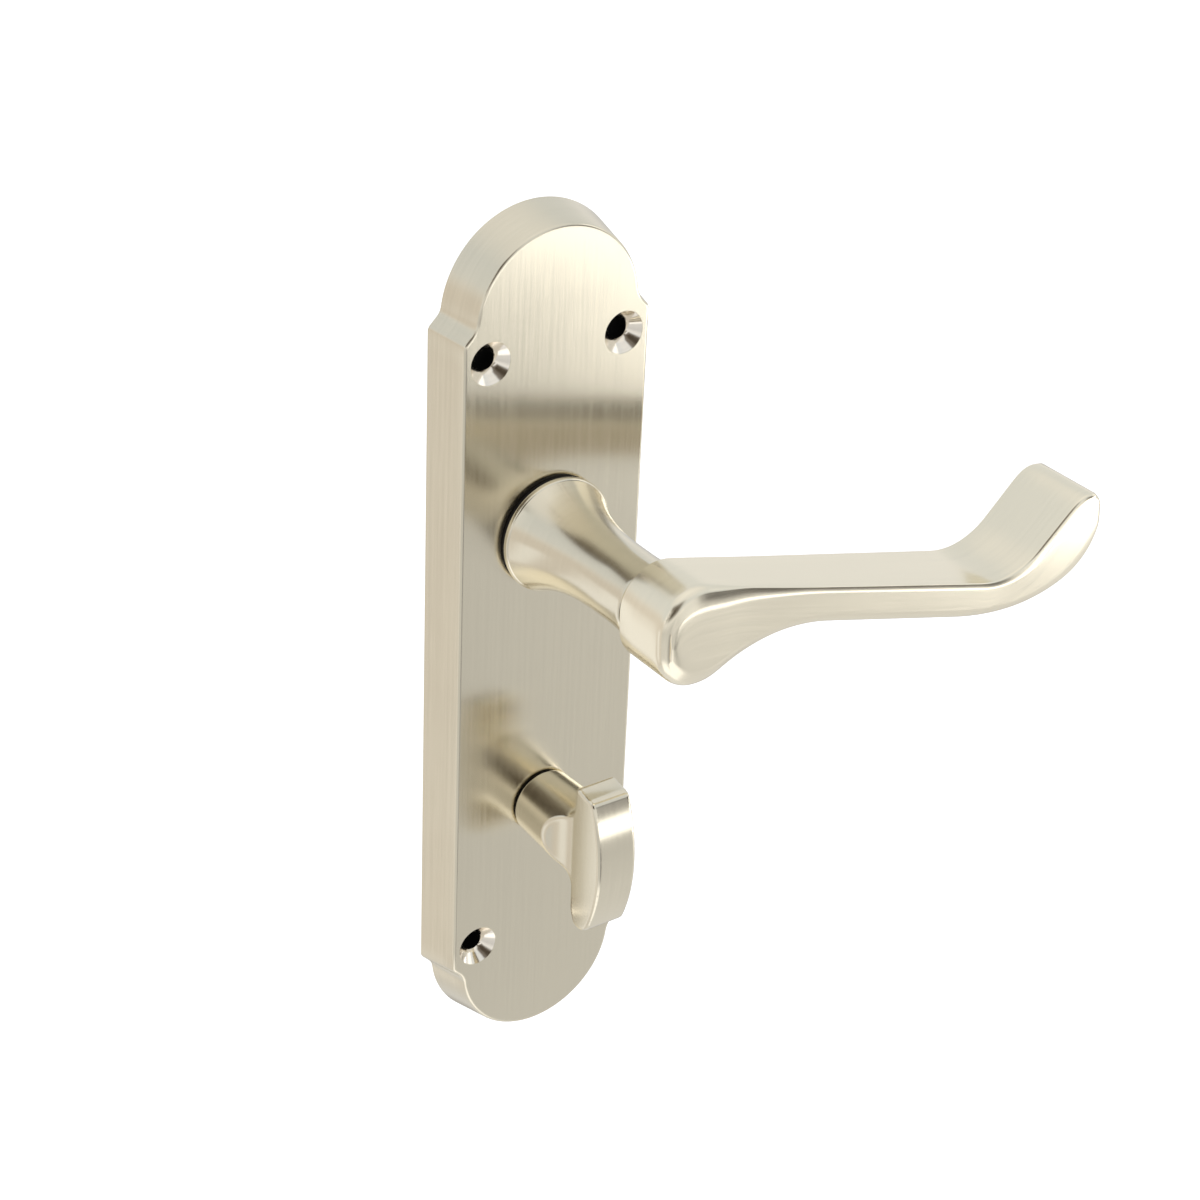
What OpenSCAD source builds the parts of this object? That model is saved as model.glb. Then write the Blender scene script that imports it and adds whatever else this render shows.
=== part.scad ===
// Scroll lever handle on an arched backplate, with a bathroom thumbturn.
// The origin is the lever's axis on the door's face. +X runs along the lever, +Y into the door, +Z up.

/* [Backplate] */
// Overall height of the backplate
plate_h = 170; // [165:1:180]
// Width of the backplate at the door
plate_w = 42; // [40:1:46]
// How far the backplate stands off the door
plate_t = 9; // [8.5:0.5:10]
// How far each side wall leans in from back to front
plate_draft = 2; // [1:0.25:2.5]
// Thickness of the plate's walls
plate_wall = 2.2; // [1.8:0.1:2.4]
// Radius of the arched ends at the door
arch_r = 18.6; // [17.5:0.1:19]
// Size of the sloping shoulders beside each arch
shoulder = 2.6; // [1.5:0.1:3]
// Height of the lever's axis above the plate's middle
lever_above_middle = 25; // [22:0.5:27]

/* [Fixing holes] */
// Distance between the screw holes across the plate
screw_across = 27.5; // [26:0.5:28]
// Distance between the screw holes up the plate
screw_up = 121; // [118:0.5:123]
// Screw hole diameter
screw_d = 3.8; // [3.4:0.1:4.8]
// Outer diameter of the countersinks
countersink_d = 8; // [7.6:0.1:9]

/* [Lever] */
// Distance from the door to the joint between neck and arm
neck_end = 40; // [38:0.5:44]
// Radius of the neck's foot
neck_foot_r = 11; // [10.5:0.1:11.4]
// Radius of the neck where the arm begins
neck_end_r = 7.3; // [7:0.1:7.6]
// Slope of the arm below the horizontal, in degrees
arm_slope = 14; // [10:1:16]
// Thickness of the arm, square to its slope
arm_thick = 7; // [5.6:0.1:7.4]
// Depth of the head, from the joint to the front
head_depth = 13.4; // [12:0.1:14]
// Depth of the arm at its tip
tip_depth = 16.4; // [14:0.1:17]
// Diameter of the round tail that turns in the plate
tail_d = 14; // [14:0.5:14.5]
// Size of the square spindle
spindle_sq = 8; // [7.6:0.1:8]
// How far both spindles reach into the door
spindle_reach = 26; // [20:1:40]

/* [Thumbturn] */
// Distance between the lever's axis and the thumbturn's axis
turn_centres = 57; // [57:1:58]
// Diameter of the thumbturn's stem
turn_stem_d = 13; // [12:0.1:13.4]
// Length of the thumbturn's blade
blade_h = 30; // [28:0.5:31]
// Width of the thumbturn's blade
blade_w = 8.4; // [7.4:0.1:8.8]
// Distance from the door to the blade's crown
blade_front = 33.6; // [32:0.2:35]
// Size of the thumbturn's square spindle
turn_spindle_sq = 5; // [4.8:0.1:5]

/* [Hidden] */
$fn = 96;
eps = 0.01;

// Nickel, steel and nylon
nickel = [0.80, 0.76, 0.69];
steel = [0.55, 0.55, 0.57];
spring_steel = [0.35, 0.35, 0.37];
nylon = [0.06, 0.06, 0.06];

// The backplate
side_lean = atan(plate_draft / plate_t);
half_straight = 65.4;
arch_centre = plate_h / 2 - arch_r;
inner_t = plate_t - plate_wall;
pillar_r = 4.9;
hub_depth = 2.6;
hub_in = plate_t - hub_depth;
lever_hub_r = 12.2;
turn_hub_r = 8.6;

// The lever's bearing, from the door outwards
run = 0.05;
tail_r = tail_d / 2;
bush_r = tail_r + run;
bush_wall = 1.5;
bush_flange = 1;
neck_start = plate_t + bush_flange;
tail_start = 0.2;
flat_half = 6.3;
groove_depth = 0.55;
circlip_t = 1;
circlip_low = 0.4;
driver_low = circlip_low + circlip_t + 0.05;
driver_t = 1.2;
spring_wire = 1.2;
spring_full_turns = 1;
spring_r = 8.9;
spring_pitch = 1.25;
spring_low = driver_low + driver_t + 0.05;
washer_t = 0.4;

// The stops, measured anticlockwise from +X as seen from the room
lever_travel = 45;
ear_angle = 90;
ear_half = 9;
ear_in = 11.2;
ear_out = 13.8;
tab_out = 16.4;
stop_in = 14.8;
stop_out = 17.2;
stop_gap = 1.5;
stop_span = 14;
spring_lug_edge = -95.5;

// The joint between neck and arm
tenon_r = 4.5;
tenon_start = 28;
socket_end = 24;
screw_r = 2;
screw_head_r = 3.5;
screw_head_t = 4;
screw_end = 37;
fit_gap = 0.05;

// The arm's outline, from the lever's axis
head_centre = [0.8, 0.55];
head_r = 8;
lobe_centre = [1, -2.3];
lobe_r = 8.1;
underside_r = 28;
bend_x = 63.3;
curl_r = 14;
curl_turn = 60;
tip_centre = [87, 1.75];
tip_r = 3.8;
belly_x = 58.4;
belly_arcs = [[50, arm_slope], [32, 23], [13.5, 57]];

// The thumbturn, from the door outwards
turn_z = -turn_centres;
turn_stem_r = turn_stem_d / 2;
turn_tail_r = 4.5;
turn_bush_wall = 1.4;
turn_flange = 0.5;
turn_start = plate_t + turn_flange;
turn_groove_r = turn_tail_r - 0.45;
turn_clip_low = 3.5;
turn_washer_low = turn_clip_low + circlip_t + 0.05;
turn_washer_t = 0.6;
wave_t = 0.3;
stem_swell = 20.5;
stem_top = 25.5;
stem_top_r = 3.3;
turn_socket_end = 15;
turn_pin_r = 0.9;
turn_pin_level = 1.9;

// Stands a piece drawn lying on its back up against the door
module on_door() rotate([90, 0, 0]) children();

module at_turn() translate([0, turn_z, 0]) children();

module ring(r_in, r_out, low, high) {
    translate([0, 0, low])
        difference() {
            cylinder(r = r_out, h = high - low);
            translate([0, 0, -1]) cylinder(r = r_in, h = high - low + 2);
        }
}

module square_bar(size, low, high) {
    translate([-size / 2, -size / 2, low]) cube([size, size, high - low]);
}

function arc_points(cx, cy, r, from, to, steps) =
    [for (i = [0 : steps]) let (a = from + (to - from) * i / steps) [cx + r * cos(a), cy + r * sin(a)]];

// ---- Backplate ----

// A bar with sides that lean in, and a rounded arch at each end
module drafted_bar(half_w, half_len, h) {
    top = half_w - h * tan(side_lean);
    rotate([90, 0, 0])
        linear_extrude(height = 2 * half_len, center = true)
            polygon([[-half_w, 0], [half_w, 0], [top, h], [-top, h]]);
}

module drafted_arches(r, h) {
    for (end = [-1, 1])
        translate([0, end * arch_centre, 0]) cylinder(r1 = r, r2 = r - h * tan(side_lean), h = h);
}

// Cuts one corner of the bar to a slope that follows the leaning side
module shoulder_cut(side, end) {
    flip_x = side < 0 ? [1, 0, 0] : [0, 0, 0];
    flip_y = end < 0 ? [0, 1, 0] : [0, 0, 0];
    mirror(flip_x) mirror(flip_y)
        translate([plate_w / 2, half_straight, 0])
            rotate([0, -side_lean, 0]) rotate([0, 0, 45])
                translate([0, -15, -3]) cube([15, 30, plate_t + 6]);
}

module plate_outside() {
    difference() {
        drafted_bar(plate_w / 2, half_straight + shoulder, plate_t);
        for (side = [-1, 1]) for (end = [-1, 1]) shoulder_cut(side, end);
    }
    drafted_arches(arch_r, plate_t);
}

module plate_inside() {
    translate([0, 0, -eps]) {
        drafted_bar(plate_w / 2 - plate_wall, half_straight - plate_wall / 2, inner_t + eps);
        drafted_arches(arch_r - plate_wall, inner_t + eps);
    }
}

module at_screws() {
    for (x = [-1, 1]) for (y = [-1, 1])
        translate([x * screw_across / 2, y * screw_up / 2, 0]) children();
}

module screw_hole() {
    sink = (countersink_d - screw_d) / 2;
    translate([0, 0, -1]) cylinder(d = screw_d, h = plate_t + 2);
    translate([0, 0, plate_t - sink]) cylinder(d1 = screw_d, d2 = countersink_d + 0.02, h = sink + eps);
}

// A block of a ring between two radii and two angles
module ring_block(r_in, r_out, from, to, low, high) {
    translate([0, 0, low])
        linear_extrude(height = high - low)
            polygon(concat(arc_points(0, 0, r_in, from, to, 6), arc_points(0, 0, r_out, to, from, 6)));
}

// The lugs that stop the lever at rest and at the end of its travel, and the one that holds the spring
module plate_lugs() {
    rest_from = ear_angle + ear_half + stop_gap;
    end_to = ear_angle - lever_travel - ear_half - stop_gap;
    ring_block(stop_in, stop_out, rest_from, rest_from + stop_span, driver_low, inner_t + eps);
    ring_block(stop_in, stop_out, end_to - stop_span, end_to, driver_low, inner_t + eps);
    ring_block(10.6, 15.4, spring_lug_edge - 16, spring_lug_edge, spring_low, inner_t + eps);
}

module backplate() {
    color(nickel)
        on_door()
            difference() {
                union() {
                    translate([0, -lever_above_middle, 0]) {
                        difference() {
                            plate_outside();
                            plate_inside();
                        }
                        at_screws() cylinder(r = pillar_r, h = inner_t + eps);
                    }
                    translate([0, 0, hub_in]) cylinder(r = lever_hub_r, h = hub_depth - eps);
                    at_turn() translate([0, 0, hub_in]) cylinder(r = turn_hub_r, h = hub_depth - eps);
                    plate_lugs();
                }
                translate([0, -lever_above_middle, 0]) at_screws() screw_hole();
                cylinder(r = bush_r + bush_wall, h = plate_t + 1);
                at_turn() cylinder(r = turn_tail_r + run + turn_bush_wall, h = plate_t + 1);
            }
}

// ---- Bushes ----

module flanged_bush(r_in, wall, flange_r, flange_t) {
    ring(r_in, r_in + wall, hub_in, plate_t + eps);
    ring(r_in, flange_r, plate_t, plate_t + flange_t);
}

module lever_bush() {
    color(nylon) on_door() flanged_bush(bush_r, bush_wall, neck_foot_r - 0.3, bush_flange - run);
}

module turn_bush() {
    color(nylon)
        on_door() at_turn()
            flanged_bush(turn_tail_r + run, turn_bush_wall, turn_stem_r - 0.3, turn_flange - run);
}

// ---- Lever ----

// Radius of the bell-shaped neck at a height above the door
waist_r = 6.9;
waist_at = 33;
lip_t = 1.2;
flare_power = 3;
flare_start = neck_start + lip_t;
function neck_r(h) =
    h > waist_at
        ? waist_r + (neck_end_r - waist_r) * pow((h - waist_at) / (neck_end - waist_at), 2)
        : waist_r + (neck_foot_r - waist_r) * pow((waist_at - h) / (waist_at - flare_start), flare_power);

module neck_outside() {
    steps = 24;
    flare = [for (i = [0 : steps])
        let (h = flare_start + (neck_end - flare_start) * i / steps) [neck_r(h), h]];
    rotate_extrude()
        polygon(concat([[0, neck_start], [neck_foot_r, neck_start]], flare, [[0, neck_end]]));
}

module tail_flats() {
    for (side = [-1, 1])
        translate([side * (flat_half + 5), 0, driver_low + driver_t / 2 - 1.5])
            cube([10, 2 * tail_d, driver_t + 3 + eps], center = true);
}

module lever_neck() {
    groove_r = tail_r - groove_depth;
    color(nickel)
        on_door()
            difference() {
                union() {
                    neck_outside();
                    translate([0, 0, tail_start]) cylinder(r = tail_r, h = neck_start - tail_start + eps);
                }
                tail_flats();
                ring(groove_r, tail_r + 1, circlip_low - 0.05, circlip_low + circlip_t + 0.05);
                square_bar(spindle_sq + 2 * fit_gap, -1, socket_end);
                translate([0, 0, socket_end - 1]) cylinder(r = screw_r, h = tenon_start - socket_end + 2);
                translate([0, 0, tenon_start]) cylinder(r = tenon_r, h = neck_end);
            }
}

// Points round a bend that starts at p, heading at an angle, and turns left by another
function bend(p, heading, r, turn, steps) =
    let (cx = p[0] - r * sin(heading), cy = p[1] + r * cos(heading))
        arc_points(cx, cy, r, heading - 90, heading - 90 + turn, steps);

// The arm's outline: a round head and lobe, a sloping arm and a tip that curls up
arm_dir = [cos(arm_slope), -sin(arm_slope)];
arm_up = [sin(arm_slope), cos(arm_slope)];
top_level = head_centre * arm_up + head_r;
low_level = top_level - arm_thick;
function on_slope(x, level) = [x, (level - x * arm_up[0]) / arm_up[1]];

// The hollow under the head touches the round lobe and the arm's straight underside
lobe_level = lobe_centre * arm_up;
hollow_rise = low_level - underside_r - lobe_level;
hollow_run = sqrt(pow(lobe_r + underside_r, 2) - pow(hollow_rise, 2));
hollow_centre = lobe_centre + hollow_run * arm_dir + hollow_rise * arm_up;
hollow_angle = atan2(lobe_centre[1] - hollow_centre[1], lobe_centre[0] - hollow_centre[0]);

belly_1 = bend(on_slope(belly_x, low_level), -arm_slope, belly_arcs[0][0], belly_arcs[0][1], 4);
belly_2 = bend(belly_1[4], 0, belly_arcs[1][0], belly_arcs[1][1], 5);
belly_3 = bend(belly_2[5], belly_arcs[1][1], belly_arcs[2][0], belly_arcs[2][1], 8);

module arm_outline() {
    tip_from = 90 - arm_slope + curl_turn;
    polygon(concat(
        arc_points(lobe_centre[0], lobe_centre[1], lobe_r, 180, 180 - hollow_angle + 2 * hollow_angle, 16),
        arc_points(hollow_centre[0], hollow_centre[1], underside_r, hollow_angle, 90 - arm_slope, 10),
        belly_1, belly_2, belly_3,
        arc_points(tip_centre[0], tip_centre[1], tip_r, -8, tip_from, 10),
        [for (i = [12 : -1 : 0])
            bend(on_slope(bend_x, top_level), -arm_slope, curl_r, curl_turn, 12)[i]],
        arc_points(head_centre[0], head_centre[1], head_r, 90 - arm_slope, 180, 12)
    ));
}

// The arm seen from above: its depth grows from the head to the tip
module arm_plan(grow) {
    back_tip = neck_end - (tip_depth - head_depth) / 4;
    front_head = neck_end + head_depth;
    polygon([[-12, neck_end], [12, neck_end], [100, back_tip],
             [100, back_tip + tip_depth + grow], [10, front_head], [-12, front_head]]);
}

module lever_arm() {
    color(nickel)
        on_door()
            difference() {
                union() {
                    intersection() {
                        translate([0, 0, neck_end - 5]) linear_extrude(height = 30) arm_outline();
                        rotate([90, 0, 0]) linear_extrude(height = 60, center = true) arm_plan(0.3);
                    }
                    translate([0, 0, tenon_start]) cylinder(r = tenon_r, h = neck_end - tenon_start + 1);
                }
                translate([0, 0, tenon_start - 1]) cylinder(r = screw_r, h = screw_end - tenon_start + 1);
            }
}

module arm_screw() {
    color(steel)
        on_door()
            difference() {
                union() {
                    translate([0, 0, socket_end - screw_head_t]) cylinder(r = screw_head_r, h = screw_head_t);
                    translate([0, 0, socket_end - eps]) cylinder(r = screw_r, h = screw_end - socket_end - 0.5);
                }
                translate([0, 0, socket_end - screw_head_t - 1]) cylinder(d = 3.4, h = 3, $fn = 6);
            }
}

module lever_spindle() {
    color(steel) on_door() square_bar(spindle_sq, -spindle_reach, socket_end - screw_head_t - 0.5);
}

module thrust_washer() {
    color(steel) on_door() ring(tail_r + 0.1, 10.6, hub_in - run - washer_t, hub_in - run);
}

// The flat steel cam that turns with the tail, pushes the spring and meets the stops
module spring_driver() {
    color(steel)
        on_door()
            difference() {
                union() {
                    translate([0, 0, driver_low]) cylinder(r = 10.4, h = driver_t);
                    ring_block(9, tab_out, ear_angle - ear_half, ear_angle + ear_half,
                        driver_low, driver_low + driver_t);
                    ring_block(ear_in, ear_out, ear_angle - ear_half, ear_angle + ear_half,
                        driver_low, spring_low + 2 * spring_wire);
                }
                difference() {
                    cylinder(r = tail_r + fit_gap, h = 10);
                    for (side = [-1, 1])
                        translate([side * (flat_half + fit_gap + 5), 0, 0]) cube([10, 40, 30], center = true);
                }
            }
}

// An open ring with its gap on the left, that snaps into a groove
module circlip(r_groove, r_out, low) {
    ear = 1.6;
    difference() {
        union() {
            ring(r_groove + 0.02, r_out, low, low + circlip_t);
            for (side = [-1, 1])
                translate([-r_out - ear / 4, side * ear * 1.1, low]) cylinder(r = ear, h = circlip_t);
        }
        translate([-r_out - 3, -0.9, low - 1]) cube([r_out, 1.8, circlip_t + 2]);
        for (side = [-1, 1])
            translate([-r_out - ear / 4, side * ear * 1.1, low - 1]) cylinder(r = 0.7, h = circlip_t + 2);
        translate([0, 0, low - 1]) cylinder(r = r_groove + 0.02, h = circlip_t + 2);
    }
}

module lever_circlip() {
    color(spring_steel) on_door() circlip(tail_r - groove_depth, 9.2, circlip_low);
}

// A wire swept along a path, as one closed tube
module wire(path, r, sides) {
    last = len(path) - 1;
    function dir(i) =
        let (d = path[min(i + 1, last)] - path[max(i - 1, 0)]) d / norm(d);
    points = [for (i = [0 : last])
        let (t = dir(i), up = [0, 0, 1], side = cross(up, t) / norm(cross(up, t)), rise = cross(t, side))
            for (k = [0 : sides - 1])
                path[i] + r * cos(360 * k / sides) * side + r * sin(360 * k / sides) * rise];
    walls = [for (i = [0 : last - 1]) for (k = [0 : sides - 1])
        let (n = (k + 1) % sides)
            [i * sides + k, (i + 1) * sides + k, (i + 1) * sides + n, i * sides + n]];
    first_cap = [for (k = [0 : sides - 1]) k];
    last_cap = [for (k = [sides - 1 : -1 : 0]) last * sides + k];
    polyhedron(points, concat([first_cap], walls, [last_cap]));
}

// A torsion spring: one leg rests on the plate's lug, the other on the driver's ear
module return_spring() {
    wire_r = spring_wire / 2;
    leg_out = 13.6;
    leg_in = spring_r + 1.2;
    push_angle = ear_angle - ear_half - 5;
    hold_angle = spring_lug_edge + 5.5;
    swept = 360 * spring_full_turns + push_angle - hold_angle;
    steps = 60;
    base = spring_low + wire_r;
    coil = [for (i = [0 : steps])
        let (a = hold_angle + swept * i / steps)
            [spring_r * cos(a), spring_r * sin(a), base + spring_pitch * swept / 360 * (1 - i / steps)]];
    function leg_point(r, a, level) = [r * cos(a), r * sin(a), level];
    hold_leg = [leg_point(leg_out, hold_angle - 1.3, coil[0][2]), leg_point(leg_in, hold_angle - 1, coil[0][2])];
    push_leg = [leg_point(leg_in, push_angle + 1.3, base), leg_point(leg_out, push_angle + 1.8, base)];
    color(spring_steel) on_door() wire(concat(hold_leg, coil, push_leg), wire_r, 10);
}

// ---- Thumbturn ----

// Side view of the blade: out of the door along X, up along Y
blade_r = 33;
blade_back = 24.8;
blade_drop = 1.45;
module blade_outline() {
    top = blade_h / 2 - blade_drop;
    bottom = -blade_h / 2 - blade_drop;
    middle = -blade_drop;
    crown = blade_front - blade_r;
    tip_r = 3;
    polygon(concat(
        arc_points(crown, middle, blade_r, asin((bottom + 1.2 - middle) / blade_r),
            asin((top - 0.5 - middle) / blade_r), 16),
        [[blade_back + 0.5, top], [blade_back, top - 5]],
        [[21.5, 7], [19, 4], [19, -5.5], [21.5, -9]],
        arc_points(blade_back + tip_r, bottom + tip_r, tip_r, 180, 270, 6)
    ));
}

// Half section of the turned stem, its tail and the groove for the circlip
module turn_profile() {
    groove_low = turn_clip_low - 0.05;
    groove_high = turn_clip_low + circlip_t + 0.05;
    polygon([[0, tail_start], [turn_tail_r, tail_start], [turn_tail_r, groove_low],
             [turn_groove_r, groove_low], [turn_groove_r, groove_high], [turn_tail_r, groove_high],
             [turn_tail_r, turn_start], [turn_stem_r, turn_start], [turn_stem_r + 0.5, stem_swell],
             [stem_top_r, stem_top], [0, stem_top]]);
}

module thumbturn() {
    color(nickel)
        on_door() at_turn()
            difference() {
                union() {
                    rotate_extrude() turn_profile();
                    rotate([0, -90, 0]) linear_extrude(height = blade_w, center = true) blade_outline();
                }
                square_bar(turn_spindle_sq + 2 * fit_gap, -1, turn_socket_end);
                translate([-10, 0, turn_pin_level]) rotate([0, 90, 0]) cylinder(r = turn_pin_r, h = 20);
            }
}

module turn_spindle() {
    color(steel)
        on_door() at_turn()
            difference() {
                square_bar(turn_spindle_sq, -spindle_reach, turn_socket_end - 0.5);
                translate([-10, 0, turn_pin_level]) rotate([0, 90, 0]) cylinder(r = turn_pin_r, h = 20);
            }
}

module turn_pin() {
    color(steel)
        on_door() at_turn()
            translate([-4.3, 0, turn_pin_level]) rotate([0, 90, 0]) cylinder(r = turn_pin_r, h = 8.6);
}

module turn_washer() {
    color(steel) on_door() at_turn() ring(turn_tail_r + 0.1, 7.6, turn_washer_low, turn_washer_low + turn_washer_t);
}

// A spring washer with three waves, that gives the thumbturn its drag
module turn_wave_washer() {
    sides = 48;
    r_in = turn_tail_r + 0.15;
    r_out = 7.4;
    low = turn_washer_low + turn_washer_t;
    middle = (low + hub_in) / 2;
    rise = (hub_in - low - wave_t) / 2 - run;
    function wave(a) = middle + rise * sin(3 * a);
    rings = [[r_in, -wave_t / 2], [r_out, -wave_t / 2], [r_out, wave_t / 2], [r_in, wave_t / 2]];
    points = [for (i = [0 : sides - 1]) let (a = 360 * i / sides)
        for (p = rings) [p[0] * cos(a), p[0] * sin(a), wave(a) + p[1]]];
    faces = [for (i = [0 : sides - 1]) for (k = [0 : 3])
        let (j = (i + 1) % sides, n = (k + 1) % 4) [i * 4 + k, i * 4 + n, j * 4 + n, j * 4 + k]];
    color(spring_steel) on_door() at_turn() polyhedron(points, faces);
}

module turn_circlip() {
    color(spring_steel) on_door() at_turn() circlip(turn_groove_r, 6.4, turn_clip_low);
}

backplate();
lever_bush();
turn_bush();
lever_neck();
lever_arm();
arm_screw();
lever_spindle();
thrust_washer();
return_spring();
spring_driver();
lever_circlip();
thumbturn();
turn_spindle();
turn_pin();
turn_washer();
turn_wave_washer();
turn_circlip();
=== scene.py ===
"""Looks of a scroll lever door handle: an arched backplate, a sprung lever and a bathroom thumbturn.

Lengths are in millimetres. A point is (x, up, out): x runs along the lever, up is height above the
lever's axis, and out is the distance from the door's face into the room.
"""
import math

import bmesh
import bpy
import numpy as np
from mathutils import Matrix, Vector

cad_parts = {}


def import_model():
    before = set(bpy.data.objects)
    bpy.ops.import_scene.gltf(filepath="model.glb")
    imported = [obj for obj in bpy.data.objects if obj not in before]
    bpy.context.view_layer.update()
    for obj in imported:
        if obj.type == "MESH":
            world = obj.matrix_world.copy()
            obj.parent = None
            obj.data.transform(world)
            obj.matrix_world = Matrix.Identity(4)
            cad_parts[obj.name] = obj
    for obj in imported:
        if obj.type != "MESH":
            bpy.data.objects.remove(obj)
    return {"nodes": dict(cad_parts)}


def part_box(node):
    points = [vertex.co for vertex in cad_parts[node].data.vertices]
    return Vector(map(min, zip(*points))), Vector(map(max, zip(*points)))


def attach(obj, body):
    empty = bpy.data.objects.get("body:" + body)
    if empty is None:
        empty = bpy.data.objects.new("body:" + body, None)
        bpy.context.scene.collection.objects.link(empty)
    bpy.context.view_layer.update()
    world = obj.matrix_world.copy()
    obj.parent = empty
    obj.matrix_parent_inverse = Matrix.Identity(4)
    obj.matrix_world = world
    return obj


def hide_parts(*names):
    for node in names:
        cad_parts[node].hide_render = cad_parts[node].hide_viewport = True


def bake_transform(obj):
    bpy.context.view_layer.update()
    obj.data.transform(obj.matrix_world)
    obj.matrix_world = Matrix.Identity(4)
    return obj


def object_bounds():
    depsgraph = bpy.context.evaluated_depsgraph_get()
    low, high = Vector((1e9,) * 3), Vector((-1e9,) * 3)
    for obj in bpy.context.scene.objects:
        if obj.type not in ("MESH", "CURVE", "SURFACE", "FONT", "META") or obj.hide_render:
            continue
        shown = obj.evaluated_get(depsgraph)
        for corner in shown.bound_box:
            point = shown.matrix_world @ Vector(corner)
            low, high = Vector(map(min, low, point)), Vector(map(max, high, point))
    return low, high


MM = 0.001
ROOT2 = math.sqrt(2)

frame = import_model()
cad_low, cad_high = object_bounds()


def place(x, up, out):
    """A point of the drawing, in the row frame, in metres."""
    return Vector((x * MM, -out * MM, up * MM))


def spans(node):
    """A CAD node's extent along x, up and out, each as (low, high) in millimetres."""
    low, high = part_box(node)
    return ((low.x / MM, high.x / MM), (low.z / MM, high.z / MM), (-high.y / MM, -low.y / MM))


# ---- Sizes: from the frame, and the details that the CAD model leaves plain ----

(_, plate_right), (plate_bottom, plate_top), (_, PLATE_T) = spans("backplate")
PLATE_HALF_W = plate_right
PLATE_MIDDLE = (plate_bottom + plate_top) / 2
PLATE_HALF_H = (plate_top - plate_bottom) / 2
ARCH_R = 18.6
ARCH_CENTRE = PLATE_HALF_H - ARCH_R
HALF_STRAIGHT = 65.4
LEAN = math.atan(2 / PLATE_T)
COVE_R = 3.0
CORNER_SOFT = 0.35
FRONT_EDGE_R = 0.6
WALL = 2.2
CAVITY = PLATE_T - WALL
CAVITY_FILLET = 1.0
SCREW_X = 13.75
SCREW_UP = 60.5
SCREW_R = 1.9
SINK_R = 4.0
PILLAR_R = 4.9
HUB_LEVEL = PLATE_T - 2.6
LEVER_HUB_R = 12.2
LEVER_HOLE_R = 8.55
TURN_HUB_R = 8.6
TURN_HOLE_R = 5.95
STOP_LUG_IN, STOP_LUG_OUT, STOP_LUG_LOW = 14.8, 17.2, 1.45

(_, NECK_FOOT_R), _, (TAIL_START, NECK_END) = spans("lever_neck")
TAIL_R = 7.0
LEVER_SQUARE = 8
RUNNING_GAP = 0.05
NECK_START = spans("lever_bush")[2][1] + RUNNING_GAP
NECK_END_R = 7.3
LIP_T = 1.2
WAIST_R = 6.9
WAIST_AT = 33.0
SEAM = 0.16

(_, _), (turn_low, turn_high), _ = spans("turn_spindle")
TURN_UP = (turn_low + turn_high) / 2
TURN_TAIL_R = 4.5
TURN_SQUARE = 5
TURN_START = spans("turn_bush")[2][1] + RUNNING_GAP
_, (blade_low, blade_top), (_, BLADE_FRONT) = spans("thumbturn")
BLADE_TOP = blade_top - TURN_UP
BLADE_LOW = blade_low - TURN_UP + 0.05
BLADE_R = 33
BLADE_MIDDLE = -1.45
BLADE_HALF_W = 4.15


# ---- Mesh building ----


def arc(cx, cy, r, start, end, steps):
    """Points along an arc between two angles in degrees, both ends included."""
    angles = [math.radians(start + (end - start) * i / steps) for i in range(steps + 1)]
    return [(cx + r * math.cos(a), cy + r * math.sin(a)) for a in angles]


def circle(cx, cy, r, steps):
    return arc(cx, cy, r, 0, 360, steps)[:-1]


def lengths(points, closed=False):
    """Distance along a chain of points, from its first point to each point and back to the first."""
    chain = list(points) + ([points[0]] if closed else [])
    total = [0.0]
    for a, b in zip(chain, chain[1:]):
        total.append(total[-1] + math.dist(a, b))
    return total


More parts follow.
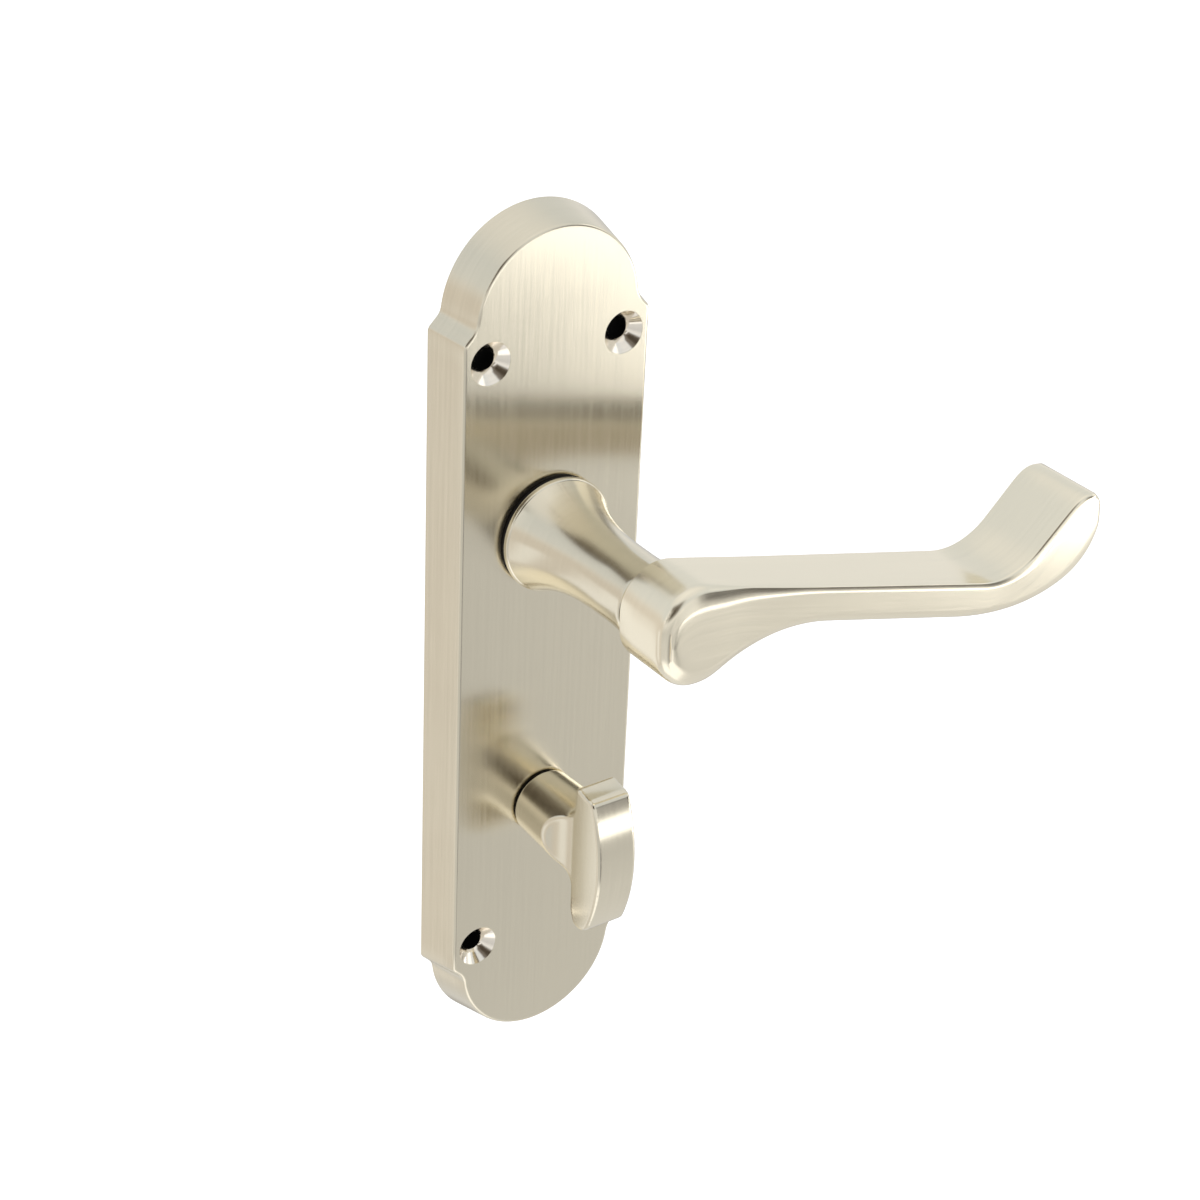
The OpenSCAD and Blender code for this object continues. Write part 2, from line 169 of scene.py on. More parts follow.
class Skin:
    """A mesh under construction. Its grain map has u across the brushing and v along it, in mm."""

    def __init__(self):
        self.bm = bmesh.new()
        self.grain = self.bm.loops.layers.uv.new("grain")

    def ring(self, points):
        """A ring of vertices, with the points that they come from."""
        return [self.bm.verts.new(place(*p)) for p in points], points

    def level(self, outline, out):
        """A ring with the same distance from the door all round."""
        return self.ring([(x, up, out) for x, up in outline])

    def face(self, corners, grain, finish):
        made = self.bm.faces.new(corners)
        made.smooth = True
        made.material_index = finish
        for loop, uv in zip(made.loops, grain):
            loop[self.grain].uv = uv

    def sweep(self, rings, finish=0):
        """Joins rings of equal count, one after another, with the brushing along the rings."""
        longest = max(range(len(rings)), key=lambda i: lengths(rings[i][1], True)[-1])
        along = lengths(rings[longest][1], closed=True)
        across = 0.0
        for (a, pa), (b, pb) in zip(rings, rings[1:]):
            step = sum(math.dist(p, q) for p, q in zip(pa, pb)) / len(pa)
            for i in range(len(a)):
                j = (i + 1) % len(a)
                grain = [(across, along[i]), (across, along[i + 1]),
                         (across + step, along[i + 1]), (across + step, along[i])]
                self.face([a[i], a[j], b[j], b[i]], grain, finish)
            across += step

    def fill(self, rings, finish=0):
        """Fills a flat region between an outer ring and holes. The brushing runs up."""
        edges = []
        for verts, _ in rings:
            for i, v in enumerate(verts):
                pair = (v, verts[(i + 1) % len(verts)])
                edges.append(self.bm.edges.get(pair) or self.bm.edges.new(pair))
        made = bmesh.ops.triangle_fill(self.bm, edges=edges, use_beauty=True)
        for f in made["geom"]:
            if isinstance(f, bmesh.types.BMFace):
                f.smooth = True
                f.material_index = finish
                for loop in f.loops:
                    loop[self.grain].uv = (loop.vert.co.x / MM, loop.vert.co.z / MM)

    def block(self, outline, low, high, soft, finish=0):
        """A closed prism on an outline, with its ends' edges softened."""
        inner = inset_loop(outline, soft)
        rings = [self.level(inner, low), self.level(outline, low + soft),
                 self.level(outline, high - soft), self.level(inner, high)]
        self.sweep(rings, finish)
        self.fill(rings[:1], finish)
        self.fill(rings[-1:], finish)

    def finish(self, name, body, stands_for, slot, materials, sharp=35):
        """Closes the mesh as an object that stands for a CAD node, and rides on a body if one is named."""
        bmesh.ops.recalc_face_normals(self.bm, faces=self.bm.faces)
        mesh = bpy.data.meshes.new(name)
        self.bm.to_mesh(mesh)
        self.bm.free()
        mesh.set_sharp_from_angle(angle=math.radians(sharp))
        for material in materials:
            mesh.materials.append(material)
        piece = bpy.data.objects.new(name, mesh)
        bpy.context.scene.collection.objects.link(piece)
        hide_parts(stands_for)
        if body:
            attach(piece, body)
        return piece


def loop_normals(points):
    """Unit normals of a closed loop of (x, up) points, to the left of the way round."""
    normals = []
    for i, (x, y) in enumerate(points):
        bx, by = points[i - 1]
        fx, fy = points[(i + 1) % len(points)]
        a = Vector((x - bx, y - by)).normalized()
        b = Vector((fx - x, fy - y)).normalized()
        mean = (a + b).normalized()
        mitre = max(mean.dot(a), 0.5)
        normals.append((-mean.y / mitre, mean.x / mitre))
    return normals


def inset_loop(points, distance):
    """A closed loop moved in by a distance, whichever way round it goes."""
    area = sum(points[i - 1][0] * p[1] - p[0] * points[i - 1][1] for i, p in enumerate(points))
    side = distance if area > 0 else -distance
    return [(x + nx * side, y + ny * side) for (x, y), (nx, ny) in zip(points, loop_normals(points))]


def turned(skin, centre, profile, sides=64, finish=0):
    """Rings round an axis through centre, from a profile of (radius, out), joined in order."""
    rings = [skin.level(circle(*centre, r, sides), out) for r, out in profile]
    skin.sweep(rings, finish)
    return rings


# ---- Materials ----


class Nodes:
    """The node tree of a material or a world, with a short way to add and link nodes."""

    def __init__(self, owner):
        owner.use_nodes = True
        self.tree = owner.node_tree
        self.tree.nodes.clear()

    def add(self, kind, **settings):
        node = self.tree.nodes.new(kind)
        for key, value in settings.items():
            setattr(node, key, value)
        return node

    def link(self, source, target):
        self.tree.links.new(source, target)

    def ramp(self, fac, stops):
        """Colours along a ramp, from (position, (r, g, b)) stops."""
        made = self.add("ShaderNodeValToRGB")
        elements = made.color_ramp.elements
        while len(elements) < len(stops):
            elements.new(0.5)
        for element, (position, colour) in zip(elements, stops):
            element.position = position
            element.color = (*colour, 1)
        self.link(fac, made.inputs["Fac"])
        return made.outputs["Color"]


class Paint(Nodes):
    """A material under construction, with its main shader."""

    def __init__(self, name):
        self.material = bpy.data.materials.new(name)
        super().__init__(self.material)
        self.shader = self.add("ShaderNodeBsdfPrincipled")
        output = self.add("ShaderNodeOutputMaterial")
        self.link(self.shader.outputs["BSDF"], output.inputs["Surface"])

    def set(self, **values):
        for key, value in values.items():
            self.shader.inputs[key.replace("_", " ")].default_value = value

    def noise(self, coordinates, scale, detail=2.0, roughness=0.5, stretch=None):
        """Noise over coordinates, which may be stretched by (across, along, depth) first."""
        if stretch:
            mapping = self.add("ShaderNodeMapping")
            mapping.inputs["Scale"].default_value = stretch
            self.link(coordinates, mapping.inputs["Vector"])
            coordinates = mapping.outputs["Vector"]
        made = self.add("ShaderNodeTexNoise")
        made.inputs["Scale"].default_value = scale
        made.inputs["Detail"].default_value = detail
        made.inputs["Roughness"].default_value = roughness
        self.link(coordinates, made.inputs["Vector"])
        return made.outputs["Fac"]

    def span(self, fac, low, high, from_low=0.25, from_high=0.75):
        """A number that follows fac between two values."""
        made = self.add("ShaderNodeMapRange")
        made.inputs["From Min"].default_value = from_low
        made.inputs["From Max"].default_value = from_high
        made.inputs["To Min"].default_value = low
        made.inputs["To Max"].default_value = high
        self.link(fac, made.inputs["Value"])
        return made.outputs["Result"]

    def sum(self, a, b):
        made = self.add("ShaderNodeMath", operation="ADD")
        self.link(a, made.inputs[0])
        self.link(b, made.inputs[1])
        return made.outputs["Value"]

    def bump(self, height, depth):
        """Bump from a height between 0 and 1, with its depth in millimetres."""
        made = self.add("ShaderNodeBump")
        made.inputs["Strength"].default_value = 1
        made.inputs["Distance"].default_value = depth * MM
        self.link(height, made.inputs["Height"])
        self.link(made.outputs["Normal"], self.shader.inputs["Normal"])


def shades(colour, spread):
    """A darker and a lighter shade of a colour, for the two ends of a ramp."""
    return [(0.3, [c * (1 - spread) for c in colour]), (0.7, [min(c * (1 + spread), 1) for c in colour])]


def brushed_metal(name, colour, roughness, anisotropy, grain_depth, spread):
    """Metal with fine lines along the grain map, long faint streaks and a soft mottle."""
    paint = Paint(name)
    paint.set(Metallic=1.0, Anisotropic=anisotropy)
    grain = paint.add("ShaderNodeUVMap", uv_map="grain").outputs["UV"]
    space = paint.add("ShaderNodeTexCoord").outputs["Object"]
    fine = paint.noise(grain, 1.0, 3.0, 0.6, (7.0, 0.12, 1.0))
    streaks = paint.noise(grain, 1.0, 2.0, 0.5, (1.6, 0.02, 1.0))
    mottle = paint.noise(space, 70.0, 3.0, 0.55)
    mixed = paint.sum(paint.span(fine, 0.0, 0.35), paint.span(streaks, 0.0, 0.4))
    mixed = paint.sum(mixed, paint.span(mottle, 0.0, 0.25))
    paint.link(paint.ramp(mixed, shades(colour, spread)), paint.shader.inputs["Base Color"])
    paint.link(paint.span(mixed, roughness * 0.85, roughness * 1.15, 0.2, 0.8),
               paint.shader.inputs["Roughness"])
    tangent = paint.add("ShaderNodeTangent", direction_type="UV_MAP", uv_map="grain")
    paint.link(tangent.outputs["Tangent"], paint.shader.inputs["Tangent"])
    paint.bump(fine, grain_depth)
    return paint.material


def cast_metal(name, colour, roughness, depth=0.03):
    """Metal as it leaves the mould: fine pits and a cloudy tone."""
    paint = Paint(name)
    paint.set(Metallic=1.0)
    space = paint.add("ShaderNodeTexCoord").outputs["Object"]
    pits = paint.noise(space, 2600.0, 4.0, 0.6)
    clouds = paint.noise(space, 160.0, 3.0, 0.5)
    paint.link(paint.ramp(clouds, shades(colour, 0.14)), paint.shader.inputs["Base Color"])
    paint.link(paint.span(clouds, roughness * 0.85, roughness * 1.15), paint.shader.inputs["Roughness"])
    paint.bump(pits, depth)
    return paint.material


def moulded_plastic(name, colour, roughness):
    """Plastic with a fine spark-eroded texture."""
    paint = Paint(name)
    paint.set(Specular_IOR_Level=0.2)
    space = paint.add("ShaderNodeTexCoord").outputs["Object"]
    texture = paint.noise(space, 3200.0, 2.0, 0.5)
    clouds = paint.noise(space, 240.0, 2.0, 0.5)
    paint.link(paint.ramp(clouds, shades(colour, 0.2)), paint.shader.inputs["Base Color"])
    paint.link(paint.span(texture, roughness * 0.85, roughness * 1.15), paint.shader.inputs["Roughness"])
    paint.bump(texture, 0.01)
    return paint.material


NICKEL = (0.757, 0.70, 0.565)
# Painted light: the arm is the same nickel as the rest, with its colour made 15% lighter to stand in for the
# brighter light on its front
ARM_NICKEL_PAINTED_LIGHT = tuple(1.15 * c for c in NICKEL)
satin = brushed_metal("satin_nickel", NICKEL, 0.21, 0.75, grain_depth=0.0015, spread=0.026)
satin_turned = brushed_metal("satin_nickel_turned", NICKEL, 0.17, 0.6, grain_depth=0.0006, spread=0.02)
satin_arm_painted_light = brushed_metal("satin_nickel_arm_painted_light", ARM_NICKEL_PAINTED_LIGHT, 0.22, 0.4, grain_depth=0.0006, spread=0.02)
polished = brushed_metal("bright_nickel", (0.90, 0.84, 0.74), 0.14, 0.3, grain_depth=0.0006, spread=0.02)
cast = cast_metal("cast_nickel", (0.50, 0.47, 0.42), 0.42)
# Painted shade: the screw bores get a near-black colour so that they stay dark like shaded holes
bore_shade_paint = cast_metal("bore_painted_shade", (0.012, 0.011, 0.010), 0.8)
nylon = moulded_plastic("black_nylon", (0.0065, 0.0055, 0.005), 0.6)
steel = cast_metal("plated_steel", (0.62, 0.61, 0.58), 0.30, depth=0.006)
spring_steel = cast_metal("spring_steel", (0.16, 0.155, 0.15), 0.34, depth=0.005)


# ---- Backplate ----


def plate_outline(inset):
    """The plate's outline moved in by a distance, anticlockwise from the middle of the right side."""
    side = PLATE_HALF_W - inset
    slope = PLATE_HALF_W + HALF_STRAIGHT
    reach = slope + COVE_R * ROOT2 - ARCH_CENTRE
    cove_x = (reach + math.sqrt(2 * (ARCH_R + COVE_R) ** 2 - reach ** 2)) / 2
    cove_up = reach - cove_x
    corner_up = slope - inset * ROOT2 - side
    touch = math.degrees(math.atan2(cove_up, cove_x))
    cove = arc(cove_x, ARCH_CENTRE + cove_up, COVE_R + inset, 225, 180 + touch, 8)
    straight = [(side, (corner_up - CORNER_SOFT) * i / 16) for i in range(17)]
    after = (side - CORNER_SOFT / ROOT2, corner_up + CORNER_SOFT / ROOT2)
    between = [tuple(a + (b - a) * k / 3 for a, b in zip(after, cove[0])) for k in range(3)]
    arch = arc(0, ARCH_CENTRE, ARCH_R - inset, touch, 90, 30)
    quarter = straight + between + cove + arch[1:]
    half = quarter + [(-x, up) for x, up in reversed(quarter[:-1])]
    whole = half + [(x, -up) for x, up in reversed(half[1:-1])]
    return [(x, up + PLATE_MIDDLE) for x, up in whole]


def plate_skin():
    skin = Skin()
    finish_satin, finish_bright, finish_bore_painted_shade, finish_cast = range(4)
    edge_out = PLATE_T - FRONT_EDGE_R
    edge_in = edge_out * math.tan(LEAN) + FRONT_EDGE_R / math.cos(LEAN)

    # Outside: the leaning wall, the rounded front edge and the start of the flat face
    wall = [(out * math.tan(LEAN), out) for out in (0.25, 2.0, 4.0, 6.0)]
    turns = [math.degrees(LEAN) + (90 - math.degrees(LEAN)) * i / 8 for i in range(9)]
    edge = [(edge_in - FRONT_EDGE_R * math.cos(math.radians(a)),
             edge_out + FRONT_EDGE_R * math.sin(math.radians(a))) for a in turns]
    outside = [(0.3, 0.0)] + wall + edge + [(edge_in + 0.12, PLATE_T)]
    outer = [skin.level(plate_outline(inset), out) for inset, out in outside]
    skin.sweep(outer, finish_satin)

    # Inside: the rim on the door, the wall, its fillet and the start of the cavity's floor
    lean_in = math.tan(LEAN)
    deep = CAVITY - CAVITY_FILLET
    fillet = [(WALL + deep * lean_in + CAVITY_FILLET * (1 - math.cos(math.radians(a))),
               deep + CAVITY_FILLET * math.sin(math.radians(a))) for a in (0, 22, 45, 68, 90)]
    inside = [(WALL - 0.2, 0.0), (WALL + 0.05, 0.25), (WALL + 3 * lean_in, 3.0)] + fillet
    inside.append((fillet[-1][0] + 0.3, CAVITY))
    inner = [skin.level(plate_outline(inset), out) for inset, out in inside]
    skin.sweep([outer[0]] + inner, finish_cast)

    front_holes, floor_holes = [], []

    # Screw holes: countersink, bore and a pillar that meets the door, closed inside the plate's thickness
    sink_end = PLATE_T - (SINK_R - SCREW_R)
    for x in (-SCREW_X, SCREW_X):
        for up in (PLATE_MIDDLE - SCREW_UP, PLATE_MIDDLE + SCREW_UP):
            sink = turned(skin, (x, up), [(SINK_R + 0.1, PLATE_T), (SINK_R + 0.04, PLATE_T),
                                          (SINK_R - 0.04, PLATE_T - 0.08)], 64, finish_satin)
            cone = turned_on(skin, sink[-1], (x, up), [(3.3, PLATE_T - 0.7), (2.6, PLATE_T - 1.4),
                                                       (SCREW_R + 0.01, sink_end + 0.01)], finish_bright)
            # The bore wall is painted near black: painted shade inside the screw hole
            tube = turned_on(skin, cone[-1], (x, up), [(SCREW_R, sink_end - 0.02), (SCREW_R, 3.0),
                                                       (SCREW_R, 0.2)], finish_bore_painted_shade)
            pillar = turned_on(skin, tube[-1], (x, up), [(SCREW_R + 0.2, 0.0), (PILLAR_R - 0.25, 0.0),
                                                         (PILLAR_R, 0.25), (PILLAR_R, CAVITY + 0.2),
                                                         (SCREW_R + 0.3, CAVITY + 0.2),
                                                         (SCREW_R + 0.3, CAVITY)], finish_cast)
            front_holes.append(sink[0])
            floor_holes.append(pillar[-1])

    # Bearing holes and the raised faces behind them
    for up, hole_r, hub_r in ((0.0, LEVER_HOLE_R, LEVER_HUB_R), (TURN_UP, TURN_HOLE_R, TURN_HUB_R)):
        hole = turned(skin, (0, up), [(hole_r + 0.35, PLATE_T), (hole_r + 0.1, PLATE_T),
                                      (hole_r, PLATE_T - 0.1), (hole_r, HUB_LEVEL + 0.1)], 96, finish_satin)
        hub = turned_on(skin, hole[-1], (0, up), [(hole_r + 0.1, HUB_LEVEL), (hub_r - 0.15, HUB_LEVEL),
                                                  (hub_r, HUB_LEVEL + 0.12), (hub_r, CAVITY),
                                                  (hub_r + 0.3, CAVITY)], finish_cast)
        front_holes.append(hole[0])
        floor_holes.append(hub[-1])

    skin.fill([outer[-1]] + front_holes, finish_satin)
    skin.fill([inner[-1]] + floor_holes, finish_cast)

    # Lugs: two stops for the lever and one that holds the spring
    lugs = [(STOP_LUG_IN, STOP_LUG_OUT, start, start + 14, STOP_LUG_LOW) for start in (100.5, 20.5)]
    lugs.append((10.6, 15.4, -111.5, -95.5, 2.7))
    for r_in, r_out, start, end, low in lugs:
        outline = arc(0, 0, r_in, start, end, 6) + arc(0, 0, r_out, end, start, 6)
        skin.block(outline, low, CAVITY + 0.4, 0.2, finish_cast)

    return skin.finish("plate_shell", "plate", "backplate", "satin_nickel", [satin, polished, bore_shade_paint, cast])


def turned_on(skin, first, centre, profile, finish):
    """Carries on from a ring that is already there, with rings of the same count."""
    sides = len(first[0])
    rings = [first] + [skin.level(circle(*centre, r, sides), out) for r, out in profile]
    skin.sweep(rings, finish)
    return rings


plate_skin()


# ---- Bushes ----


def bush(name, node, centre, r_in, hole_r, flange_r, flange_top):
    """A nylon bush: a flange on the plate's face and a sleeve in its hole."""
    skin = Skin()
    soft, gap = 0.15, 0.02
    profile = [(r_in + soft, HUB_LEVEL + gap), (hole_r - soft, HUB_LEVEL + gap),
               (hole_r - gap, HUB_LEVEL + soft), (hole_r - gap, PLATE_T + gap),
               (flange_r - soft, PLATE_T + gap), (flange_r, PLATE_T + soft),
               (flange_r, flange_top - soft), (flange_r - soft, flange_top),
               (r_in + soft, flange_top), (r_in, flange_top - soft), (r_in, HUB_LEVEL + soft)]
    rings = [skin.level(circle(*centre, r, 96), out) for r, out in profile]
    skin.sweep(rings + rings[:1])
    return skin.finish(name, "plate", node, "black_nylon", [nylon])


bush("lever_bearing", "lever_bush", (0, 0), TAIL_R + RUNNING_GAP, LEVER_HOLE_R,
     NECK_FOOT_R - 0.3, NECK_START - RUNNING_GAP)
bush("turn_bearing", "turn_bush", (0, TURN_UP), TURN_TAIL_R + RUNNING_GAP, TURN_HOLE_R,
     6.0, TURN_START - RUNNING_GAP)


# ---- Lever ----


def flatted(r, flat, steps):
    """A circle with a flat on its left and right."""
    points = circle(0, 0, r, steps)
    return [(max(-flat, min(flat, x)), y) for x, y in points]


def square_loop(half, soft, steps):
    """A square with rounded corners, its points at even angles so that it joins to a circle."""
    points = []
    for i in range(steps):
        a = 2 * math.pi * i / steps
        c, s = math.cos(a), math.sin(a)
        reach = half / max(abs(c), abs(s))
        corner = half * ROOT2 - soft * (ROOT2 - 1)
        points.append((min(reach, corner) * c, min(reach, corner) * s))
    return points


def neck_skin():
    skin = Skin()
    sides = 96
    foot, flare_start = NECK_FOOT_R, NECK_START + LIP_T

    def radius(h):
        if h > WAIST_AT:
            return WAIST_R + (NECK_END_R - WAIST_R) * ((h - WAIST_AT) / (NECK_END - WAIST_AT)) ** 2
        return WAIST_R + (foot - 0.35 - WAIST_R) * ((WAIST_AT - h) / (WAIST_AT - flare_start)) ** 3

    steps = 40
    flare = [flare_start + (NECK_END - 0.34 - flare_start) * i / steps for i in range(steps + 1)]
    lip = [(foot - 0.3, NECK_START), (foot - 0.08, NECK_START + 0.08), (foot, NECK_START + 0.3),
           (foot, flare_start - 0.45), (foot - 0.08, flare_start - 0.2), (foot - 0.2, flare_start - 0.06)]
    profile = [(TAIL_R, NECK_START), (foot - 0.5, NECK_START)] + lip
    profile += [(radius(h), h) for h in flare]
    profile += [(NECK_END_R - 0.06, NECK_END - 0.2), (NECK_END_R - 0.22, NECK_END - SEAM / 2),
                (4.6, NECK_END - SEAM / 2), (4.5, NECK_END - 0.2), (4.5, 28.0), (2.0, 28.0), (2.0, 24.0)]
    rings = turned(skin, (0, 0), profile, sides)

    # The tail: round in the bush, with two flats for the spring driver and a groove for the circlip
    flat, groove_r = 6.3, 6.45
    tail = [skin.level(circle(0, 0, TAIL_R, sides), 2.7)]
    for r, out in ((TAIL_R, 2.65), (TAIL_R, 1.45), (groove_r, 1.45), (groove_r, 0.35), (TAIL_R, 0.35)):
        tail.append(skin.level(flatted(r, flat, sides), out))
    tail.append(skin.level(flatted(TAIL_R - 0.1, flat - 0.1, sides), TAIL_START))
    hollow = square_loop(LEVER_SQUARE / 2 + RUNNING_GAP, 0.3, sides)
    socket = [skin.level(hollow, TAIL_START), skin.level(hollow, 23.95),
              skin.level(circle(0, 0, 3.0, sides), 24.0)]
    skin.sweep([rings[0]] + tail + socket + [rings[-1]])
    return skin.finish("neck_turned", "lever", "lever_neck", "satin_nickel", [satin_turned])


neck_skin()

ARM_SLOPE = 14
ARM_THICK = 7.0
HEAD_CENTRE, HEAD_R = (0.8, 0.55), 8.0
LOBE_CENTRE, LOBE_R = (1.0, -2.3), 8.1
UNDERSIDE_R = 28
BEND_X, CURL_R, CURL_TURN = 63.3, 14, 60
TIP_CENTRE, TIP_R = (87.0, 1.75), 3.8
BELLY_X = 58.4
BELLY_ARCS = ((50, 14), (32, 23), (13.5, 57))
HEAD_FRONT = 53.4
ARM_END = 100.0
BACK_AT_END = NECK_END - 0.75
FRONT_AT_END = BACK_AT_END + 16.7


def bend(start, heading, r, turn, steps):
    """Points round a left-hand bend from a start point and a heading in degrees."""
    a = math.radians(heading)
    centre = (start[0] - r * math.sin(a), start[1] + r * math.cos(a))
    return arc(*centre, r, heading - 90, heading - 90 + turn, steps)


def resample(chain, count):
    """Even points along a chain, both ends included."""
    along = lengths(chain)
    targets = np.linspace(0, along[-1], count)
    return list(zip(np.interp(targets, along, [p[0] for p in chain]),
                    np.interp(targets, along, [p[1] for p in chain])))


def arm_edges():
    """The arm's upper and lower edges from the head's left end to the tip, paired point by point."""
    slope = math.radians(-ARM_SLOPE)
    along = (math.cos(slope), math.sin(slope))
    up = (-math.sin(slope), math.cos(slope))
    dot = lambda a, b: a[0] * b[0] + a[1] * b[1]
    top = dot(HEAD_CENTRE, up) + HEAD_R
    low = top - ARM_THICK
    on_slope = lambda x, level: (x, (level - x * up[0]) / up[1])
    rise = low - UNDERSIDE_R - dot(LOBE_CENTRE, up)
    run = math.sqrt((LOBE_R + UNDERSIDE_R) ** 2 - rise ** 2)
    hollow = tuple(LOBE_CENTRE[k] + run * along[k] + rise * up[k] for k in (0, 1))
    touch = math.degrees(math.atan2(LOBE_CENTRE[1] - hollow[1], LOBE_CENTRE[0] - hollow[0]))
    lobe_end = touch + 180
    lobe_low = 270 - ARM_SLOPE

    left = (min(HEAD_CENTRE[0] - HEAD_R, LOBE_CENTRE[0] - LOBE_R) + 0.03, -0.85)
    head = [left] + arc(*HEAD_CENTRE, HEAD_R, 178, 90 - ARM_SLOPE, 40)
    curl = bend(on_slope(BEND_X, top), -ARM_SLOPE, CURL_R, CURL_TURN, 30)
    tip_mid = 64
    tip_up = arc(*TIP_CENTRE, TIP_R, 90 - ARM_SLOPE + CURL_TURN, tip_mid, 20)
    tip_low = arc(*TIP_CENTRE, TIP_R, -8, tip_mid, 20)
    lobe_a = [left] + arc(*LOBE_CENTRE, LOBE_R, 184, lobe_low, 30)
    lobe_b = arc(*LOBE_CENTRE, LOBE_R, lobe_low, lobe_end, 20)
    under = arc(*hollow, UNDERSIDE_R, touch, 90 - ARM_SLOPE, 20)
    belly = [on_slope(BELLY_X, low)]
    heading = -ARM_SLOPE
    for r, turn in BELLY_ARCS:
        belly += bend(belly[-1], heading, r, turn, 16)[1:]
        heading += turn

    middle_x = under[-1][0] + 2.5
    slope_a = [head[-1], on_slope(middle_x, top)]
    slope_b = [slope_a[-1], curl[0]]
    lower_b = lobe_b + under[1:]
    lower_c = [lower_b[-1], belly[0]]
    upper_parts = [(head, 34), (slope_a, 30), (slope_b, 46), (curl, 26), ([curl[-1]] + tip_up[1:], 14)]
    lower_parts = [(lobe_a, 34), (lower_b, 30), (lower_c, 46), (belly, 26), ([belly[-1]] + tip_low, 14)]
    edges = []
    for parts in (upper_parts, lower_parts):
        chain = [parts[0][0][0]]
        for points, count in parts:
            chain += resample(points, count)[1:]
        edges.append(smooth_chain(chain, 3))
    return edges


def smooth_chain(chain, passes):
    """Evens out the bends of a chain, leaving its two ends alone."""
    for _ in range(passes):
        middle = [tuple((a[k] + 2 * b[k] + c[k]) / 4 for k in (0, 1))
                  for a, b, c in zip(chain, chain[1:], chain[2:])]
        chain = [chain[0]] + middle + [chain[-1]]
    return chain


def ease(value, low, high):
    """0 below low, 1 above high and a smooth rise between them."""
    t = min(max((value - low) / (high - low), 0), 1)
    return t * t * (3 - 2 * t)


def arm_back(x):
    start = NECK_END + SEAM / 2
    return start + (BACK_AT_END - start) * min(max((x - 12) / (ARM_END - 12), 0), 1)


def arm_front(x):
    return HEAD_FRONT + (FRONT_AT_END - HEAD_FRONT) * min(max((x - 10) / (ARM_END - 10), 0), 1)


def arm_skin():
    skin = Skin()
    upper, lower = arm_edges()
    count = len(upper)
    loop = upper + lower[-2:0:-1]
    normals = loop_normals(loop)
    last_turn = 78

    def crown(x):
        return 0.8 - 0.5 * ease(x, 4, 26)

    def front_radius(i):
        x = loop[i][0]
        on_top = i < count
        along_arm = 0.3 + 0.3 * ease(x, 62, 72) if on_top else 1.3
        return along_arm + (2.0 - along_arm) * (1 - ease(x, 0, 12))

    def back_radius(i):
        return 0.25 + 0.25 * ease(loop[i][0], 9, 20) + 1.1 * ease(loop[i][0], 82, 90)

    def inset_ring(inset, out):
        """A ring of the loop moved in by inset(i), with its depth from out(i, x)."""
        points = []
        for i, ((x, up), (nx, ny)) in enumerate(zip(loop, normals)):
            px, py = x - nx * inset(i), up - ny * inset(i)
            points.append((px, py, out(i, px)))
        return skin.ring(points)

    rings = []
    for a in [math.radians(d) for d in (85, 68, 51, 34, 17, 0)]:
        rings.append(inset_ring(lambda i: back_radius(i) * (1 - math.cos(a)),
                                lambda i, x: arm_back(x) + back_radius(i) * (1 - math.sin(a))))
    for share in (0.3, 0.7):
        rings.append(inset_ring(lambda i: 0.0,
                                lambda i, x: arm_back(x) + (arm_front(x) - arm_back(x)) * share))
    for a in [math.radians(last_turn * k / 9) for k in range(10)]:
        rings.append(inset_ring(lambda i: front_radius(i) * (1 - math.cos(a)),
                                lambda i, x: arm_front(x) - crown(x) - front_radius(i) * (1 - math.sin(a))))
    skin.sweep(rings)

    cap(skin, *rings[0], count, lambda x: -0.05)
    cap(skin, *rings[-1], count, crown)
    tenon = turned(skin, (0, 0), [(2.0, 28.3), (4.2, 28.3), (4.45, 28.5), (4.45, NECK_END + 1),
                                  (2.0, NECK_END + 1)], 48)
    skin.sweep([tenon[-1], tenon[0]])
    # The arm wears the lighter copy of the nickel: painted light
    return skin.finish("arm_scroll", "lever", "lever_arm", "satin_nickel", [satin_arm_painted_light], sharp=50)


